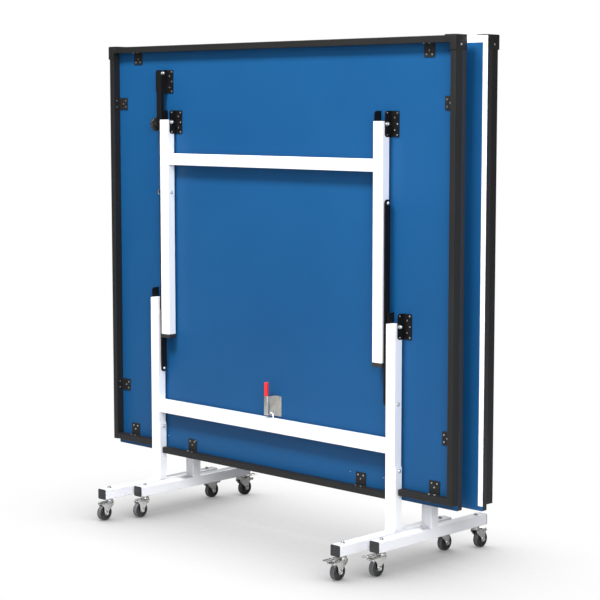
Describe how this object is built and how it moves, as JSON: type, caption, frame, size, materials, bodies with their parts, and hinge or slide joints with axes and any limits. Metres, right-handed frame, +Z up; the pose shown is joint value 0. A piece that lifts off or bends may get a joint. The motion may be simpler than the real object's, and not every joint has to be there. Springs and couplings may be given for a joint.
{
  "type": "table tennis table",
  "caption": "Folding table tennis table in storage: two blue half tables stand upright on white tubular trolleys with castors, end legs and stays folded in.",
  "frame": {"origin": "on the floor, midway between the two stored halves", "axes": "+Z up, +X along the table's width, +Y from half A to half B; half A's underside faces -Y"},
  "size_m": [1.577, 0.706, 1.567],
  "materials": {
    "board_blue": "matt blue lacquer on an 18 mm board",
    "apron_black": "satin black powder coat",
    "bracket_black": "satin black powder coat on folded steel",
    "tube_white": "gloss white powder coat",
    "zinc": "bright zinc plate",
    "tread_grey": "dark grey tread on a black hub",
    "latch_grey": "grey zinc plate, with a red moulded grip",
    "rod_grey": "plain zinc plate"
  },
  "bodies": {
    "a_trolley": {"a_upright_frame": "tube_white", "a_foot_left": "tube_white", "a_foot_right": "tube_white"},
    "a_panel": {"a_board": "board_blue", "a_apron_end": "apron_black", "a_apron_left": "apron_black", "a_apron_right": "apron_black", "a_apron_net": "apron_black", "a_pivot_bracket_left": "bracket_black", "a_pivot_bracket_right": "bracket_black", "a_leg_bracket_left": "bracket_black", "a_leg_bracket_right": "bracket_black", "a_stay_bracket": "bracket_black", "a_latch_bracket": "latch_grey"},
    "a_end_leg": {"a_leg_frame": "tube_white"},
    "a_strut_left_arm": {"a_strut_left": "bracket_black"},
    "a_strut_right_arm": {"a_strut_right": "bracket_black"},
    "a_stay_outer": {"a_stay_channel": "bracket_black"},
    "a_stay_inner": {"a_stay_rod": "rod_grey"},
    "a_latch": {"a_latch_lever": "latch_grey"},
    "a_castor_front_left": {"a_castor_fork_front_left": "zinc"},
    "a_wheel_front_left": {"a_castor_wheel_front_left": "tread_grey"},
    "a_castor_front_right": {"a_castor_fork_front_right": "zinc"},
    "a_wheel_front_right": {"a_castor_wheel_front_right": "tread_grey"},
    "a_pedal_front_right": {"a_brake_pedal_front_right": "zinc"},
    "a_castor_rear_left": {"a_castor_fork_rear_left": "zinc"},
    "a_wheel_rear_left": {"a_castor_wheel_rear_left": "tread_grey"},
    "a_pedal_rear_left": {"a_brake_pedal_rear_left": "zinc"},
    "a_castor_rear_right": {"a_castor_fork_rear_right": "zinc"},
    "a_wheel_rear_right": {"a_castor_wheel_rear_right": "tread_grey"},
    "b_trolley": {"b_upright_frame": "tube_white", "b_foot_left": "tube_white", "b_foot_right": "tube_white"},
    "b_panel": {"b_board": "board_blue", "b_apron_end": "apron_black", "b_apron_left": "apron_black", "b_apron_right": "apron_black", "b_apron_net": "apron_black", "b_pivot_bracket_left": "bracket_black", "b_pivot_bracket_right": "bracket_black", "b_leg_bracket_left": "bracket_black", "b_leg_bracket_right": "bracket_black", "b_stay_bracket": "bracket_black", "b_latch_bracket": "latch_grey"},
    "b_end_leg": {"b_leg_frame": "tube_white"},
    "b_strut_left_arm": {"b_strut_left": "bracket_black"},
    "b_strut_right_arm": {"b_strut_right": "bracket_black"},
    "b_stay_outer": {"b_stay_channel": "bracket_black"},
    "b_stay_inner": {"b_stay_rod": "rod_grey"},
    "b_latch": {"b_latch_lever": "latch_grey"},
    "b_castor_front_left": {"b_castor_fork_front_left": "zinc"},
    "b_wheel_front_left": {"b_castor_wheel_front_left": "tread_grey"},
    "b_castor_front_right": {"b_castor_fork_front_right": "zinc"},
    "b_wheel_front_right": {"b_castor_wheel_front_right": "tread_grey"},
    "b_pedal_front_right": {"b_brake_pedal_front_right": "zinc"},
    "b_castor_rear_left": {"b_castor_fork_rear_left": "zinc"},
    "b_wheel_rear_left": {"b_castor_wheel_rear_left": "tread_grey"},
    "b_pedal_rear_left": {"b_brake_pedal_rear_left": "zinc"},
    "b_castor_rear_right": {"b_castor_fork_rear_right": "zinc"},
    "b_wheel_rear_right": {"b_castor_wheel_rear_right": "tread_grey"}
  },
  "joints": [
    {"name": "a_fold", "type": "hinge", "parent": "a_trolley", "child": "a_panel", "pos_m": [-0.026, -0.0555, 0.7205], "axis": [1, 0, 0], "range_deg": [0, 90]},
    {"name": "a_leg_swing", "type": "hinge", "parent": "a_panel", "child": "a_end_leg", "pos_m": [-0.026, -0.0555, 1.3155], "axis": [1, 0, 0], "range_deg": [-90, 0]},
    {"name": "a_strut_left_swing", "type": "hinge", "parent": "a_trolley", "child": "a_strut_left_arm", "pos_m": [-0.528, -0.0555, 0.4885], "axis": [1, 0, 0], "range_deg": [0, 90]},
    {"name": "a_strut_right_swing", "type": "hinge", "parent": "a_trolley", "child": "a_strut_right_arm", "pos_m": [0.476, -0.0555, 0.4885], "axis": [1, 0, 0], "range_deg": [0, 90]},
    {"name": "a_stay_outer_swing", "type": "hinge", "parent": "a_panel", "child": "a_stay_outer", "pos_m": [-0.536, -0.0555, 1.4775], "axis": [1, 0, 0], "range_deg": [-55.07, 0]},
    {"name": "a_stay_inner_swing", "type": "hinge", "parent": "a_end_leg", "child": "a_stay_inner", "pos_m": [-0.536, -0.0555, 1.0835], "axis": [1, 0, 0], "range_deg": [0, 34.93]},
    {"name": "a_latch_release", "type": "hinge", "parent": "a_panel", "child": "a_latch", "pos_m": [-0.026, -0.0523, 0.4], "axis": [1, 0, 0], "range_deg": [0, 40]},
    {"name": "a_swivel_front_left", "type": "hinge", "parent": "a_trolley", "child": "a_castor_front_left", "pos_m": [-0.557, -0.2755, 0.072], "axis": [0, 0, 1], "continuous": true},
    {"name": "a_wheel_spin_front_left", "type": "hinge", "parent": "a_castor_front_left", "child": "a_wheel_front_left", "pos_m": [-0.557, -0.2975, 0.026], "axis": [1, 0, 0], "continuous": true},
    {"name": "a_swivel_front_right", "type": "hinge", "parent": "a_trolley", "child": "a_castor_front_right", "pos_m": [0.505, -0.2755, 0.072], "axis": [0, 0, 1], "range_deg": [-180, 90]},
    {"name": "a_wheel_spin_front_right", "type": "hinge", "parent": "a_castor_front_right", "child": "a_wheel_front_right", "pos_m": [0.505, -0.2975, 0.026], "axis": [1, 0, 0], "continuous": true},
    {"name": "a_brake_front_right", "type": "hinge", "parent": "a_castor_front_right", "child": "a_pedal_front_right", "pos_m": [0.505, -0.291, 0.0655], "axis": [1, 0, 0], "range_deg": [0, 15]},
    {"name": "a_swivel_rear_left", "type": "hinge", "parent": "a_trolley", "child": "a_castor_rear_left", "pos_m": [-0.557, 0.1645, 0.072], "axis": [0, 0, 1], "continuous": true},
    {"name": "a_wheel_spin_rear_left", "type": "hinge", "parent": "a_castor_rear_left", "child": "a_wheel_rear_left", "pos_m": [-0.557, 0.1865, 0.026], "axis": [1, 0, 0], "continuous": true},
    {"name": "a_brake_rear_left", "type": "hinge", "parent": "a_castor_rear_left", "child": "a_pedal_rear_left", "pos_m": [-0.557, 0.18, 0.0655], "axis": [-1, 0, 0], "range_deg": [0, 15]},
    {"name": "a_swivel_rear_right", "type": "hinge", "parent": "a_trolley", "child": "a_castor_rear_right", "pos_m": [0.505, 0.1645, 0.072], "axis": [0, 0, 1], "continuous": true},
    {"name": "a_wheel_spin_rear_right", "type": "hinge", "parent": "a_castor_rear_right", "child": "a_wheel_rear_right", "pos_m": [0.505, 0.1865, 0.026], "axis": [1, 0, 0], "continuous": true},
    {"name": "b_roll_out", "type": "slide", "parent": "a_trolley", "child": "b_trolley", "axis": [0, 1, 0], "range_m": [0, 1.50796]},
    {"name": "b_fold", "type": "hinge", "parent": "b_trolley", "child": "b_panel", "pos_m": [0.026, 0.0555, 0.7205], "axis": [-1, 0, 0], "range_deg": [0, 90]},
    {"name": "b_leg_swing", "type": "hinge", "parent": "b_panel", "child": "b_end_leg", "pos_m": [0.026, 0.0555, 1.3155], "axis": [-1, 0, 0], "range_deg": [-90, 0]},
    {"name": "b_strut_left_swing", "type": "hinge", "parent": "b_trolley", "child": "b_strut_left_arm", "pos_m": [0.528, 0.0555, 0.4885], "axis": [-1, 0, 0], "range_deg": [0, 90]},
    {"name": "b_strut_right_swing", "type": "hinge", "parent": "b_trolley", "child": "b_strut_right_arm", "pos_m": [-0.476, 0.0555, 0.4885], "axis": [-1, 0, 0], "range_deg": [0, 90]},
    {"name": "b_stay_outer_swing", "type": "hinge", "parent": "b_panel", "child": "b_stay_outer", "pos_m": [0.536, 0.0555, 1.4775], "axis": [-1, 0, 0], "range_deg": [-55.07, 0]},
    {"name": "b_stay_inner_swing", "type": "hinge", "parent": "b_end_leg", "child": "b_stay_inner", "pos_m": [0.536, 0.0555, 1.0835], "axis": [-1, 0, 0], "range_deg": [0, 34.93]},
    {"name": "b_latch_release", "type": "hinge", "parent": "b_panel", "child": "b_latch", "pos_m": [0.026, 0.0523, 0.4], "axis": [-1, 0, 0], "range_deg": [0, 40]},
    {"name": "b_swivel_front_left", "type": "hinge", "parent": "b_trolley", "child": "b_castor_front_left", "pos_m": [0.557, 0.2755, 0.072], "axis": [0, 0, 1], "continuous": true},
    {"name": "b_wheel_spin_front_left", "type": "hinge", "parent": "b_castor_front_left", "child": "b_wheel_front_left", "pos_m": [0.557, 0.2975, 0.026], "axis": [-1, 0, 0], "continuous": true},
    {"name": "b_swivel_front_right", "type": "hinge", "parent": "b_trolley", "child": "b_castor_front_right", "pos_m": [-0.505, 0.2755, 0.072], "axis": [0, 0, 1], "range_deg": [-180, 90]},
    {"name": "b_wheel_spin_front_right", "type": "hinge", "parent": "b_castor_front_right", "child": "b_wheel_front_right", "pos_m": [-0.505, 0.2975, 0.026], "axis": [-1, 0, 0], "continuous": true},
    {"name": "b_brake_front_right", "type": "hinge", "parent": "b_castor_front_right", "child": "b_pedal_front_right", "pos_m": [-0.505, 0.291, 0.0655], "axis": [-1, 0, 0], "range_deg": [0, 15]},
    {"name": "b_swivel_rear_left", "type": "hinge", "parent": "b_trolley", "child": "b_castor_rear_left", "pos_m": [0.557, -0.1645, 0.072], "axis": [0, 0, 1], "continuous": true},
    {"name": "b_wheel_spin_rear_left", "type": "hinge", "parent": "b_castor_rear_left", "child": "b_wheel_rear_left", "pos_m": [0.557, -0.1865, 0.026], "axis": [-1, 0, 0], "continuous": true},
    {"name": "b_brake_rear_left", "type": "hinge", "parent": "b_castor_rear_left", "child": "b_pedal_rear_left", "pos_m": [0.557, -0.18, 0.0655], "axis": [1, 0, 0], "range_deg": [0, 15]},
    {"name": "b_swivel_rear_right", "type": "hinge", "parent": "b_trolley", "child": "b_castor_rear_right", "pos_m": [-0.505, -0.1645, 0.072], "axis": [0, 0, 1], "continuous": true},
    {"name": "b_wheel_spin_rear_right", "type": "hinge", "parent": "b_castor_rear_right", "child": "b_wheel_rear_right", "pos_m": [-0.505, -0.1865, 0.026], "axis": [-1, 0, 0], "continuous": true}
  ],
  "couplings": [
    {"joint": "a_leg_swing", "follows": "a_fold", "ratio": -1},
    {"joint": "a_strut_left_swing", "follows": "a_fold", "ratio": 1},
    {"joint": "a_strut_right_swing", "follows": "a_fold", "ratio": 1},
    {"joint": "a_stay_outer_swing", "follows": "a_fold", "ratio": -0.61194},
    {"joint": "a_stay_inner_swing", "follows": "a_fold", "ratio": 0.38806},
    {"joint": "b_roll_out", "follows": "a_fold", "m_per_rad": 0.96},
    {"joint": "b_fold", "follows": "a_fold", "ratio": 1},
    {"joint": "b_leg_swing", "follows": "a_fold", "ratio": -1},
    {"joint": "b_strut_left_swing", "follows": "a_fold", "ratio": 1},
    {"joint": "b_strut_right_swing", "follows": "a_fold", "ratio": 1},
    {"joint": "b_stay_outer_swing", "follows": "a_fold", "ratio": -0.61194},
    {"joint": "b_stay_inner_swing", "follows": "a_fold", "ratio": 0.38806}
  ]
}
